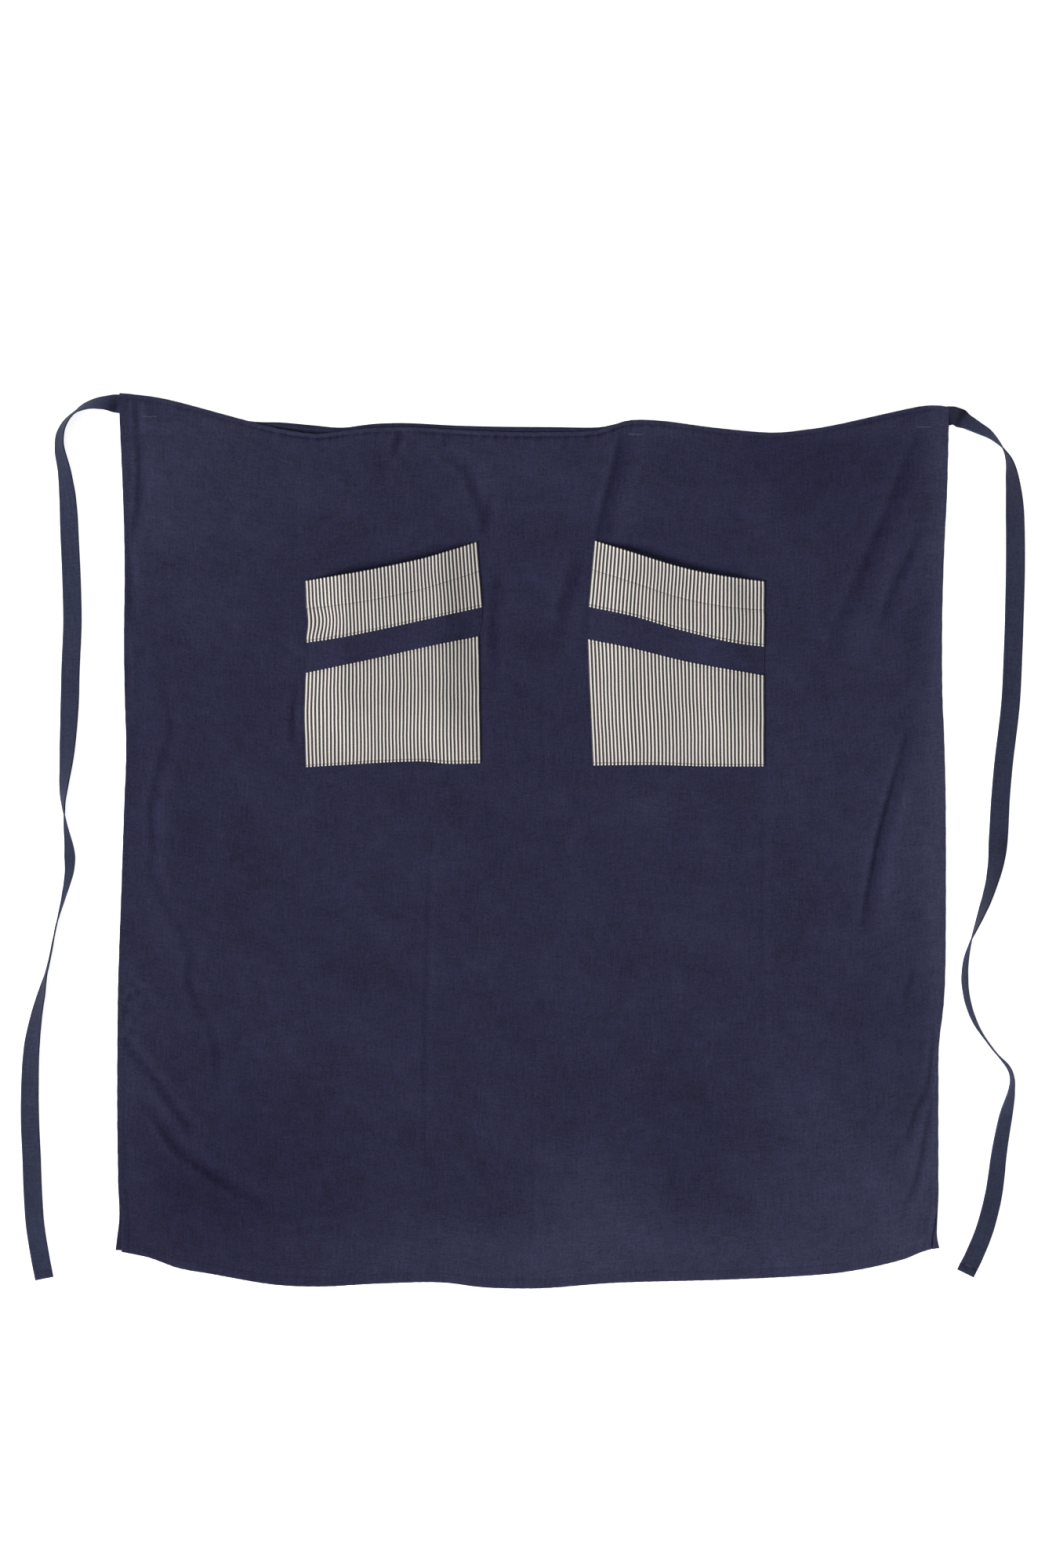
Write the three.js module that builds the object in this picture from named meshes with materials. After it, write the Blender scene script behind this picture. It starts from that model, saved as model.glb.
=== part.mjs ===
// A waist apron with two patch pockets, laid flat, in millimetres. +X is to the right, +Y towards the waist
// and +Z off its front. The origin is on the surface that it lies on, under the middle of the body.
import * as THREE from 'three';

// Cloth and layers
const CLOTH = 0.5; // thickness of one layer of linen
const GAP = 0.3; // left between layers that touch
const LAYER = CLOTH + GAP;
const BACK_Z = 0;
const BACK_HEM_Z = BACK_Z + LAYER;
const FRONT_HEM_Z = BACK_HEM_Z + LAYER;
const FRONT_Z = FRONT_HEM_Z + LAYER;
const FRONT_TOP_Z = FRONT_Z + CLOTH;

// Turned edges and seams
const WAIST_HEM = 5;
const BOTTOM_HEM = 10;
const SIDE_SEAM = 7.5;
const HEM_INSET = 0.4; // from the fold of an edge to what is turned inside it
const STRIP_CLEAR = 1; // between two strips that meet at a corner
const EDGE_STEP = 15; // length of an edge's straight facets
const CORNER_STEP = 8; // of the front's bottom edge, past the jog at its right corner
const SEAM_START = 24; // of a side's length, left above its seam for the sewn-in tie

// Ties
const TIE_WIDTH = 20.8;
const TIE_THICK = 1; // doubled cloth
const TIE_REST_Z = 0.6; // centre of a tie that lies on the table
const TIE_SEAM_Z = (BACK_HEM_Z + FRONT_HEM_Z + CLOTH) / 2;
const TIE_SETTLE = 40; // distance over which it comes down from the seam to the table
const TIE_STEPS = 72;
const TIE_END_HEM = 8;
const TIE_END_THICK = 1.2;

// Thread bars below the waist
const TACK_LENGTH = 15;
const TACK_WIDTH = 1.2;
const TACK_THICK = 0.5;

// Pockets
const POCKET_GAPE = 7; // how far the mouth stands off the panel
const POCKET_SIDE_RAMP = 0.25; // share of the width over which it rises from a side
const POCKET_END_RAMP = 0.3; // share of the height over which it falls to the bottom
const POCKET_HEM = 30; // depth of the mouth's turned hem
const POCKET_COLUMNS = 16;
const SEAM_GAP = 0.4; // between two pocket pieces, along the cloth
const HEM_BASE = FRONT_TOP_Z + GAP; // underside of the mouth's hem
const POCKET_BASE = HEM_BASE + LAYER;

const NAVY = { color: 0x2e3048, roughness: 0.9, metalness: 0 };
const NAVY_DARK = { color: 0x24263a, roughness: 0.95, metalness: 0 };
const TIE_BLUE = { color: 0x383e52, roughness: 0.9, metalness: 0 };
const TICKING = { color: 0xb9b6ac, roughness: 0.9, metalness: 0 };
const THREAD = { color: 0x8a8ea0, roughness: 0.8, metalness: 0 };

const apron = new THREE.Group();

function add(name, geometry, finish) {
  const mesh = new THREE.Mesh(geometry, new THREE.MeshStandardMaterial(finish));
  mesh.name = name;
  apron.add(mesh);
}

// Edges, each run clockwise round the body as seen from the front
const edge = (points) => new THREE.SplineCurve(points.map(([x, y]) => new THREE.Vector2(x, y)));

const frontWaist = edge([
  [-455.5, 494], [-422, 490.5], [-390, 484], [-318, 464.5], [-279, 455], [-240, 449.3], [-208, 452.5],
  [-176, 455.8], [-130, 456.5], [-80, 453.5], [-30, 451.5], [20, 451], [72, 453.5], [104, 463.5],
  [142, 463.5], [200, 456], [262, 450.5], [300, 453.5], [337, 459.5], [418, 477.5], [443, 480.5],
  [460, 478.7],
]);
const backWaist = edge([
  [-455.5, 493], [-422, 489.5], [-390, 483], [-318, 464], [-279, 461.8], [-240, 458.3], [-210, 455.9],
  [-178, 459.8], [-140, 461], [-86, 458.3], [-34, 457], [20, 456.6], [74, 456.4], [104, 462.5], [142, 462.5],
  [200, 455], [262, 449.5], [300, 452.5], [337, 458.5], [418, 476.5], [443, 479.5], [460, 477.7],
]);
const rightSide = edge([
  [460, 478.7], [458, 392], [454.5, 319], [452.5, 250], [452.5, 166], [454.6, 112], [456.4, 18],
  [455.5, -154], [449, -223], [448.2, -275], [448.2, -396],
]);
const rightVentFront = edge([[448.2, -396], [444.5, -420], [441.5, -438], [440.2, -450.7]]);
const rightVentBack = edge([[448.2, -396], [447, -420], [446.8, -438], [449.2, -450]]);
const frontBottom = edge([
  [440.2, -450.7], [429.5, -451.8], [426.2, -455.5], [405, -463.5], [361, -473.5], [312, -479.5],
  [215, -484.6], [94, -488], [12, -494], [-50, -493.3], [-86, -489], [-116, -487.3], [-182, -489.5],
  [-232, -492.2], [-287, -489.8], [-356, -478], [-391, -471.7], [-422, -460.5], [-453, -454],
]);
const backBottom = edge([
  [449.2, -450], [438, -450.2], [405, -459.5], [361, -469.5], [312, -475.5], [215, -480.6], [94, -484],
  [12, -490], [-86, -485], [-182, -485.5], [-287, -485.8], [-356, -474], [-391, -467.7], [-422, -456.5],
  [-450, -451.6], [-460, -452],
]);
const leftVentFront = edge([[-453, -454], [-453.6, -438], [-452.2, -420], [-455, -404], [-457, -386]]);
const leftVentBack = edge([[-460, -452], [-457.6, -432], [-455.4, -411], [-456.6, -398], [-457, -386]]);
const leftSide = edge([
  [-457, -386], [-458.2, -308], [-458, -215], [-457, -150], [-453.5, -50], [-450.5, 38], [-448.3, 97],
  [-449.6, 150], [-450.8, 218], [-450, 296], [-451, 357], [-453, 409], [-455.3, 462], [-455.5, 494],
]);

// How many steps an edge, or a share of it, is cut into
const stepsOf = (curve, share = 1) => Math.max(2, Math.round((curve.getLength() * share) / EDGE_STEP));

function flatPiece(points, bottom, thickness) {
  const piece = new THREE.ExtrudeGeometry(new THREE.Shape(points), { depth: thickness, bevelEnabled: false });
  return piece.translate(0, 0, bottom);
}

function panel(edges, bottom) {
  const outline = edges.flatMap((curve) => curve.getSpacedPoints(stepsOf(curve)).slice(0, -1));
  return flatPiece(outline, bottom, CLOTH);
}

// A strip along the inside of an edge. start and end are how far it stays from the edge's two corners
function strip(curve, width, start, end, bottom, thickness = CLOTH) {
  const length = curve.getLength();
  const from = start / length;
  const to = 1 - end / length;
  const steps = stepsOf(curve, to - from);
  const outer = [];
  const inner = [];
  for (let i = 0; i <= steps; i += 1) {
    const at = THREE.MathUtils.lerp(from, to, i / steps);
    const along = curve.getTangentAt(at);
    const inward = new THREE.Vector2(along.y, -along.x);
    const onEdge = curve.getPointAt(at);
    outer.push(onEdge.clone().addScaledVector(inward, HEM_INSET));
    inner.unshift(onEdge.clone().addScaledVector(inward, HEM_INSET + width));
  }
  return flatPiece([...outer, ...inner], bottom, thickness);
}

// Body
const backEdges = [backWaist, rightSide, rightVentBack, backBottom, leftVentBack, leftSide];
const frontEdges = [frontWaist, rightSide, rightVentFront, frontBottom, leftVentFront, leftSide];
add('back_panel', panel(backEdges, BACK_Z), NAVY_DARK);
add('front_panel', panel(frontEdges, FRONT_Z), NAVY);

// Hems start past the side seams
const corner = SIDE_SEAM + HEM_INSET + STRIP_CLEAR;
const frontCorner = corner + CORNER_STEP;
add('back_waist_hem', strip(backWaist, WAIST_HEM, corner, corner, BACK_HEM_Z), NAVY_DARK);
add('front_waist_hem', strip(frontWaist, WAIST_HEM, corner, corner, FRONT_HEM_Z), NAVY);
add('back_bottom_hem', strip(backBottom, BOTTOM_HEM, corner, corner, BACK_HEM_Z), NAVY_DARK);
add('front_bottom_hem', strip(frontBottom, BOTTOM_HEM, frontCorner, corner, FRONT_HEM_Z), NAVY);

// The side seams hold both layers, and start below the sewn-in tie
const seamThick = FRONT_HEM_Z + CLOTH - BACK_HEM_Z;
const rightSeam = strip(rightSide, SIDE_SEAM, SEAM_START, STRIP_CLEAR, BACK_HEM_Z, seamThick);
const leftSeam = strip(leftSide, SIDE_SEAM, STRIP_CLEAR, SEAM_START, BACK_HEM_Z, seamThick);
add('right_side_seam', rightSeam, NAVY);
add('left_side_seam', leftSeam, NAVY);

// Below them, each layer's vent edge has a hem of its own
const ventHem = (curve, bottom) => strip(curve, SIDE_SEAM, STRIP_CLEAR, STRIP_CLEAR, bottom);
add('right_vent_hem_front', ventHem(rightVentFront, FRONT_HEM_Z), NAVY);
add('right_vent_hem_back', ventHem(rightVentBack, BACK_HEM_Z), NAVY_DARK);
add('left_vent_hem_front', ventHem(leftVentFront, FRONT_HEM_Z), NAVY);
add('left_vent_hem_back', ventHem(leftVentBack, BACK_HEM_Z), NAVY_DARK);

// Thread bars through the layers, just below the waist
const tacks = { left: [-422, 468], centre: [114.8, 448.4], right: [432.6, 456.6] };
for (const [place, [x, y]] of Object.entries(tacks)) {
  const bar = new THREE.BoxGeometry(TACK_LENGTH, TACK_WIDTH, TACK_THICK);
  add(`waist_tack_${place}`, bar.translate(x, y, FRONT_TOP_Z + GAP + TACK_THICK / 2), THREAD);
}

// Ties: the first point of a route is at the side seam, and the last is where the end hem starts
const tieRoutes = {
  left: [
    [-456.2, 482.4], [-470, 483.6], [-484, 482.6], [-496, 479], [-507, 472], [-516, 462], [-521.5, 449],
    [-522, 432], [-517, 408], [-513, 375], [-511, 335], [-509, 290], [-508, 240], [-510, 190], [-511, 150],
    [-514, 95], [-518, 52], [-516, 20], [-511.5, -8], [-511, -32], [-517, -60], [-526, -95], [-533, -130],
    [-541, -165], [-548, -195], [-553, -230], [-554.8, -270], [-554.8, -310], [-553, -350], [-551.5, -390],
    [-549, -425], [-543.5, -460], [-540.5, -475.5],
  ],
  right: [
    [461, 469.2], [468, 468.6], [480, 462.5], [493, 455.5], [504, 449.5], [513, 441.5], [521, 431.5],
    [527, 418], [530, 400], [532.5, 375], [533.5, 340], [533.5, 300], [532.5, 255], [531, 210], [528, 150],
    [521, 90], [517, 45], [515, 8], [512, -25], [504, -58], [494, -86], [484, -112], [478.5, -136],
    [478, -160], [482, -182], [490, -202], [502, -221], [515, -238], [526, -251], [530, -264], [528.5, -280],
    [523, -304], [516, -342], [509.5, -390], [500, -428], [488.5, -457], [482, -470.5],
  ],
};

function tieTube(route) {
  const seam = route[0];
  const points = route.map(([x, y]) => {
    const away = Math.hypot(x - seam[0], y - seam[1]);
    const settled = THREE.MathUtils.smoothstep(away, 0, TIE_SETTLE);
    return new THREE.Vector3(x, y, THREE.MathUtils.lerp(TIE_SEAM_Z, TIE_REST_Z, settled));
  });
  const path = new THREE.CatmullRomCurve3(points, false, 'centripetal');
  const halfThick = TIE_THICK / 2;
  const halfWidth = TIE_WIDTH / 2;
  const section = new THREE.Shape([
    new THREE.Vector2(-halfThick, -halfWidth),
    new THREE.Vector2(halfThick, -halfWidth),
    new THREE.Vector2(halfThick, halfWidth),
    new THREE.Vector2(-halfThick, halfWidth),
  ]);
  return new THREE.ExtrudeGeometry(section, { steps: TIE_STEPS, extrudePath: path });
}

function tieEndHem(route) {
  const [before, last] = route.slice(-2);
  const heading = Math.atan2(last[1] - before[1], last[0] - before[0]);
  const block = new THREE.BoxGeometry(TIE_END_HEM, TIE_WIDTH, TIE_END_THICK);
  block.translate(GAP + TIE_END_HEM / 2, 0, TIE_END_THICK / 2);
  return block.rotateZ(heading).translate(last[0], last[1], 0);
}

for (const [side, route] of Object.entries(tieRoutes)) {
  add(`${side}_tie`, tieTube(route), TIE_BLUE);
  add(`${side}_tie_end_hem`, tieEndHem(route), TIE_BLUE);
}

// The sewn-in ends lie between the layers, inside the side seam
const anchors = {
  left: { x: -451.2, y: 481.8, width: 20 },
  right: { x: 455.2, y: 469.2, width: 17 },
};
for (const [side, { x, y, width }] of Object.entries(anchors)) {
  const end = new THREE.BoxGeometry(SIDE_SEAM, width, TIE_THICK);
  add(`${side}_tie_anchor`, end.translate(x, y, TIE_SEAM_Z), TIE_BLUE);
}

// Pockets: rows run from the left edge to the right edge, mouth first
const pockets = {
  left: {
    mouth: edge([[-250.5, 286], [-193, 295], [-132, 307.5], [-100, 316], [-60.5, 329.5]]),
    upperSeam: edge([[-248, 218.4], [-204, 225], [-117, 243.5], [-54.8, 258]]),
    bandSeam: edge([[-249, 184.8], [-185, 198], [-120, 212.5], [-58.6, 225.6]]),
    bottom: edge([[-249.4, 81.5], [-178, 86], [-124, 88], [-93, 85.5], [-56.3, 86]]),
  },
  right: {
    mouth: edge([[68.2, 331], [134, 309.5], [174, 298.3], [215, 290.5], [256.5, 285.5]]),
    upperSeam: edge([[61.8, 258.5], [113, 247], [158.5, 233.5], [215, 219.5], [256.5, 214]]),
    bandSeam: edge([[60.6, 222.6], [113, 211.5], [174, 196.5], [256.3, 182]]),
    bottom: edge([[66.6, 83.5], [134, 84.2], [190, 82.6], [256.3, 82.5]]),
  },
};

// A pocket's height over the panel, from how far across it and how far down it a point is
function pocketLift(across, down) {
  const fromSide = Math.min(across, 1 - across);
  const rise = THREE.MathUtils.smoothstep(fromSide, 0, POCKET_SIDE_RAMP);
  const fall = THREE.MathUtils.smoothstep(1 - down, 0, POCKET_END_RAMP);
  return POCKET_GAPE * rise * fall;
}

// A curved piece of cloth between two rows. Its underside is base over the table, plus the pocket's own lift
function pocketPiece({ mouth, bottom }, topRow, bottomRow, rows, base) {
  const piece = new THREE.BoxGeometry(1, 1, 1, POCKET_COLUMNS, rows, 1);
  const corners = piece.getAttribute('position');
  for (let i = 0; i < corners.count; i += 1) {
    const across = corners.getX(i) + 0.5;
    const top = topRow(across);
    const place = top.clone().lerp(bottomRow(across), 0.5 - corners.getY(i));
    const mouthY = mouth.getPoint(across).y;
    const down = (mouthY - place.y) / (mouthY - bottom.getPoint(across).y);
    const under = base + pocketLift(across, THREE.MathUtils.clamp(down, 0, 1));
    corners.setXYZ(i, place.x, place.y, under + CLOTH * (corners.getZ(i) + 0.5));
  }
  return piece;
}

const lowered = (row, distance) => (across) => row.getPoint(across).sub(new THREE.Vector2(0, distance));

for (const [side, pocket] of Object.entries(pockets)) {
  const { mouth, upperSeam, bandSeam, bottom } = pocket;
  const half = SEAM_GAP / 2;
  const pieces = {
    mouth_hem: { from: lowered(mouth, HEM_INSET), to: lowered(mouth, POCKET_HEM), rows: 2, base: HEM_BASE },
    upper: { from: lowered(mouth, 0), to: lowered(upperSeam, -half), rows: 4, base: POCKET_BASE },
    band: { from: lowered(upperSeam, half), to: lowered(bandSeam, -half), rows: 2, base: POCKET_BASE },
    lower: { from: lowered(bandSeam, half), to: lowered(bottom, 0), rows: 8, base: POCKET_BASE },
  };
  for (const [part, { from, to, rows, base }] of Object.entries(pieces)) {
    const finish = part === 'band' ? NAVY : TICKING;
    add(`${side}_pocket_${part}`, pocketPiece(pocket, from, to, rows, base), finish);
  }
}

export default apron;
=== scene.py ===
"""A navy waist apron with two striped patch pockets, laid flat on a pale table. Metres throughout."""

import math

import bpy
import numpy as np
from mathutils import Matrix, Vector, noise


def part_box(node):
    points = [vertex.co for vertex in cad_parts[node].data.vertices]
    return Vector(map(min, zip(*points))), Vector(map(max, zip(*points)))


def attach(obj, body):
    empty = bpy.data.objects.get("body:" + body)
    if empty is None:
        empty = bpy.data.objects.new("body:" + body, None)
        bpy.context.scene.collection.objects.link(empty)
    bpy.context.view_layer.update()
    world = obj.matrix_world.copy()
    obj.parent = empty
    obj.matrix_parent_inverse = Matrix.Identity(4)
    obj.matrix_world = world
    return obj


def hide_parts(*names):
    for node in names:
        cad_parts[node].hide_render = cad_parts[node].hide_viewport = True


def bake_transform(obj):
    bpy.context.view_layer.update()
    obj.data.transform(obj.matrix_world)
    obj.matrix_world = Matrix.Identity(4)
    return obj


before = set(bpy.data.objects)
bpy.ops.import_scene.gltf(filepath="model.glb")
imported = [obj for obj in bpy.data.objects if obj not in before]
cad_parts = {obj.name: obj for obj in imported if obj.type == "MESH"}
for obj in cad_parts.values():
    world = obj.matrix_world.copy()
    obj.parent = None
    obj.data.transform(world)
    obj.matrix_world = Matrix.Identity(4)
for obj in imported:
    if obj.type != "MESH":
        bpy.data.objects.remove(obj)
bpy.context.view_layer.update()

MM = 0.001

# Layers, as the frame stacks them
CLOTH = 0.0005
BACK_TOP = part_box("back_panel")[1].z
FRONT_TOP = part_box("front_panel")[1].z
FRONT_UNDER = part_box("front_panel")[0].z
BODY = "apron_body"
EYE = (-0.0108, 0.0626, 2.405)
SUN_WAY = (0.66, 0.50, -0.49)
SUN_STRENGTH = 4.7

# Turned edges
WAIST_HEM = 0.0054
BOTTOM_HEM = 0.0104
SIDE_SEAM = 0.0078
FURROW = 0.0011  # how far from a row of stitches the cloth is pulled down
FOLD = 0.0011  # how far from its fold the front's cloth turns down

# Thread
STITCH = 0.0021
STITCH_PITCH = 0.0029
THREAD = 0.00032


# ---------------------------------------------------------------- camera, floor and light

def add_object(name, data):
    thing = bpy.data.objects.new(name, data)
    bpy.context.scene.collection.objects.link(thing)
    return thing


def make_camera():
    data = bpy.data.cameras.new("camera")
    data.lens = 50
    data.sensor_width = 36
    camera = add_object("camera", data)
    camera.location = EYE
    bpy.context.scene.camera = camera


def make_floor(material):
    size = 14.0
    mesh = bpy.data.meshes.new("floor")
    corners = [(-size, -size, 0), (size, -size, 0), (size, size, 0), (-size, size, 0)]
    mesh.from_pydata(corners, [], [(0, 1, 2, 3)])
    mesh.materials.append(material)
    floor = add_object("floor", mesh)


def make_lights():
    sun = bpy.data.lights.new("key", "SUN")
    sun.energy = SUN_STRENGTH
    sun.angle = math.radians(26)
    add_object("key", sun).rotation_euler = Vector(SUN_WAY).to_track_quat("-Z", "Y").to_euler()
    world = bpy.data.worlds.new("world")
    world.use_nodes = True
    sky = world.node_tree.nodes["Background"].inputs
    sky["Color"].default_value = (0.98, 0.98, 1, 1)
    sky["Strength"].default_value = 0.5
    bpy.context.scene.world = world
    bpy.context.scene.view_settings.view_transform = "Standard"


# ---------------------------------------------------------------- shader groups

class Nodes:
    """Adds nodes to a tree. A socket's value is either another socket, which is linked, or a plain value."""

    def __init__(self, tree):
        self.tree = tree

    def add(self, kind, inputs=(), **settings):
        node = self.tree.nodes.new(kind)
        for key, value in settings.items():
            setattr(node, key, value)
        for key, value in dict(inputs).items():
            self.put(node.inputs[key], value)
        return node

    def put(self, socket, value):
        if isinstance(value, bpy.types.NodeSocket):
            self.tree.links.new(value, socket)
        else:
            socket.default_value = value

    def math(self, operation, *values):
        return self.add("ShaderNodeMath", enumerate(values), operation=operation).outputs[0]

    def plus(self, *values):
        total = values[0]
        for value in values[1:]:
            total = self.math("ADD", total, value)
        return total

    def minus(self, a, b):
        return self.math("SUBTRACT", a, b)

    def times(self, a, b):
        return self.math("MULTIPLY", a, b)

    def scaled(self, colour, amount):
        return self.add("ShaderNodeVectorMath", {0: colour, "Scale": amount}, operation="SCALE").outputs[0]

    def mix(self, factor, a, b):
        return self.add("ShaderNodeMix", {0: factor, 6: a, 7: b}, data_type="RGBA").outputs[2]

    def ramp(self, value, low, high, start=0.0, end=1.0):
        """value from low to high becomes start to end, smoothly."""
        given = enumerate((value, low, high, start, end))
        return self.add("ShaderNodeMapRange", given, interpolation_type="SMOOTHSTEP").outputs[0]

    def noise(self, vector, scale, stretch=(1, 1, 1), detail=2.0):
        moved = self.add("ShaderNodeMapping", {"Vector": vector, "Scale": stretch}).outputs[0]
        settings = {"Vector": moved, "Scale": scale, "Detail": detail, "Roughness": 0.55}
        return self.add("ShaderNodeTexNoise", settings).outputs[0]

    def split(self, vector):
        return self.add("ShaderNodeSeparateXYZ", {0: vector}).outputs

    def bump(self, height, distance, strength):
        settings = {"Height": height, "Distance": distance, "Strength": strength}
        return self.add("ShaderNodeBump", settings).outputs[0]


def shader_group(name, inputs, outputs):
    tree = bpy.data.node_groups.new(name, "ShaderNodeTree")
    kinds = {"colour": "NodeSocketColor", "value": "NodeSocketFloat", "vector": "NodeSocketVector"}
    for direction, sockets in (("INPUT", inputs), ("OUTPUT", outputs)):
        for label, kind in sockets.items():
            tree.interface.new_socket(label, in_out=direction, socket_type=kinds[kind])
    given = tree.nodes.new("NodeGroupInput").outputs
    result = tree.nodes.new("NodeGroupOutput").inputs
    return Nodes(tree), given, result


def make_linen_group():
    """Plain weave: one thread in two shows its warp, and both threads are uneven along their length."""
    inputs = {"Cloth": "vector", "Warp": "colour", "Weft": "colour", "Faded And Lit": "colour", "Fade": "value",
              "Pitch": "value", "Slub": "value", "Cloud": "value", "Weave": "value"}
    nodes, given, result = shader_group("linen_weave", inputs, {"Color": "colour", "Height": "value"})
    half_turn = nodes.math("DIVIDE", math.pi, given["Pitch"])
    ways = nodes.split(given["Cloth"])[:2]
    across, along = (nodes.math("SINE", nodes.times(way, half_turn)) for way in ways)
    over = nodes.times(across, along)

    def uneven(wide, tall, detail=2.0):
        return nodes.minus(nodes.noise(given["Cloth"], 1000, (wide, tall, 1), detail), 0.5)

    weft_yarn, warp_yarn, grain = uneven(0.05, 1.05), uneven(1.05, 0.04), uneven(0.36, 0.42)
    clouds = nodes.plus(uneven(0.011, 0.016, 3.0), uneven(0.06, 0.1, 3.0))
    slubs = nodes.ramp(uneven(0.16, 1.2, 0.0), 0.12, 0.35, 0, 0.3)
    yarns = nodes.plus(weft_yarn, warp_yarn)
    # Which yarn colour shows
    crossing = nodes.math("MULTIPLY_ADD", over, given["Weave"], 0.5)
    shown = nodes.plus(crossing, nodes.times(nodes.minus(warp_yarn, weft_yarn), 1.5),
                       nodes.times(clouds, 0.45), nodes.times(grain, 0.9))
    colour = nodes.mix(nodes.ramp(shown, 0.05, 0.95), given["Weft"], given["Warp"])
    # Mixed towards the paler colour both for faded cloth and for painted light; a low value is painted shade.
    colour = nodes.mix(given["Fade"], colour, given["Faded And Lit"])
    # How light it is
    threads = nodes.plus(yarns, nodes.times(grain, 1.4), slubs)
    light = nodes.plus(nodes.times(threads, given["Slub"]), nodes.times(clouds, given["Cloud"]), 1.0)
    nodes.put(result["Color"], nodes.scaled(colour, light))
    nodes.put(result["Height"], nodes.plus(nodes.math("SQRT", nodes.math("ABSOLUTE", over)), yarns))
    return nodes.tree


def make_ticking_group():
    """Twill with a dark stripe in each period. The stripe's edges step with the twill."""
    inputs = {"Cloth": "vector", "Cream": "colour", "Dark": "colour", "Dark Other": "colour",
              "Period": "value", "Dark Share": "value", "Twill": "value"}
    nodes, given, result = shader_group("ticking", inputs, {"Color": "colour", "Height": "value"})
    across, along = nodes.split(given["Cloth"])[:2]

    def twill_wave(place):
        return nodes.math("SINE", nodes.times(nodes.math("DIVIDE", place, given["Twill"]), 2 * math.pi))

    stripe = nodes.math("DIVIDE", across, given["Period"])
    wave = twill_wave(nodes.plus(across, along))
    place = nodes.math("FRACT", nodes.plus(stripe, nodes.times(twill_wave(along), 0.04)))
    from_middle = nodes.math("ABSOLUTE", nodes.minus(place, 0.5))
    half = nodes.times(given["Dark Share"], 0.5)
    dark = nodes.ramp(from_middle, nodes.minus(half, 0.05), nodes.plus(half, 0.05), 1.0, 0.0)
    # Each dark stripe has a tone of its own, which drifts along it
    number = nodes.math("FLOOR", stripe)
    tone = nodes.add("ShaderNodeTexWhiteNoise", {"W": number}, noise_dimensions="1D").outputs[0]
    drift = nodes.noise(given["Cloth"], 1000, (0.3, 0.08, 1))
    tone = nodes.ramp(nodes.plus(nodes.times(tone, 0.4), nodes.times(drift, 0.9)), 0.35, 0.95)
    dark_colour = nodes.mix(tone, given["Dark"], given["Dark Other"])
    dark_colour = nodes.mix(nodes.ramp(wave, 0.4, 1.0, 0.0, 0.07), dark_colour, given["Cream"])
    soil = nodes.ramp(nodes.noise(given["Cloth"], 1000, (0.7, 0.05, 1)), 0.3, 0.75, 1.0, 0.93)
    cream = nodes.scaled(given["Cream"], nodes.times(soil, nodes.ramp(wave, -1.0, 0.0, 0.80, 1.0)))
    nodes.put(result["Color"], nodes.mix(dark, cream, dark_colour))
    rib = nodes.times(nodes.ramp(from_middle, 0.15, 0.4), 1.6)
    nodes.put(result["Height"], nodes.plus(rib, nodes.times(wave, 0.3)))
    return nodes.tree


def make_crumple_group():
    """The small creases that linen keeps after washing, as a height in metres."""
    nodes, given, result = shader_group("crumple", {"Place": "vector", "Depth": "value"}, {"Height": "value"})
    broad = nodes.noise(given["Place"], 1, (42, 30, 42), detail=1.0)
    fine = nodes.noise(given["Place"], 1, (150, 120, 150), detail=2.0)
    ridge = nodes.math("ABSOLUTE", nodes.minus(broad, 0.5))
    height = nodes.plus(nodes.times(fine, 0.35), nodes.times(ridge, -1.4))
    nodes.put(result["Height"], nodes.times(height, given["Depth"]))
    return nodes.tree


def new_material(name, settings):
    """A material, its nodes and its shader's inputs, set as settings says."""
    material = bpy.data.materials.new(name)
    material.use_nodes = True
    nodes = Nodes(material.node_tree)
    shader = material.node_tree.nodes["Principled BSDF"].inputs
    for label, value in settings.items():
        nodes.put(shader[label], value)
    return material, nodes, shader


def cloth_material(name, group, values, weave_depth, crumple_depth):
    material, nodes, shader = new_material(name, {
        "Roughness": 0.9, "Specular IOR Level": 0.06, "Sheen Weight": 0.03, "Sheen Roughness": 0.5})
    cloth = nodes.add("ShaderNodeUVMap", uv_map="cloth").outputs[0]
    pattern = nodes.add("ShaderNodeGroup", {"Cloth": cloth, **values}, node_tree=group)
    if group is LINEN:
        # This attribute holds faded cloth together with painted light and shade.
        wear_and_painted_light = nodes.add("ShaderNodeAttribute", attribute_name="fade_and_light").outputs["Fac"]
        nodes.put(pattern.inputs["Fade"], wear_and_painted_light)
    place = nodes.add("ShaderNodeTexCoord").outputs["Object"]
    crumple = nodes.add("ShaderNodeGroup", {"Place": place, "Depth": crumple_depth}, node_tree=CRUMPLE)
    height = nodes.plus(nodes.times(pattern.outputs["Height"], weave_depth), crumple.outputs[0])
    nodes.put(shader["Base Color"], pattern.outputs["Color"])
    nodes.put(shader["Normal"], nodes.bump(height, 1.0, 1.0))
    return material


def floor_material():
    """A pale table, which glows a little and so takes only faint shadows."""
    return new_material("floor", {
        "Base Color": (0.93, 0.93, 0.945, 1), "Roughness": 0.9, "Specular IOR Level": 0.1,
        "Emission Color": (1, 1, 1, 1), "Emission Strength": 0.75})[0]


def thread_material(name, *colour):
    """Twisted thread: its plies show as light and dark along it."""
    material, nodes, shader = new_material(name, {
        "Base Color": (*colour, 1), "Roughness": 0.75, "Specular IOR Level": 0.1})
    place = nodes.add("ShaderNodeTexCoord").outputs["Object"]
    plies = nodes.noise(place, 1, (2600, 2600, 2600), detail=1.0)
    nodes.put(shader["Base Color"], nodes.scaled(colour, nodes.ramp(plies, 0.3, 0.7, 0.7, 1.25)))
    nodes.put(shader["Normal"], nodes.bump(plies, 0.0001, 0.6))
    return material


LINEN = make_linen_group()
TICKING = make_ticking_group()
CRUMPLE = make_crumple_group()

# The paler navy that both faded cloth and painted light are mixed towards.
NAVY_FADED_AND_LIT = (0.0325, 0.0345, 0.067, 1)


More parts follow.
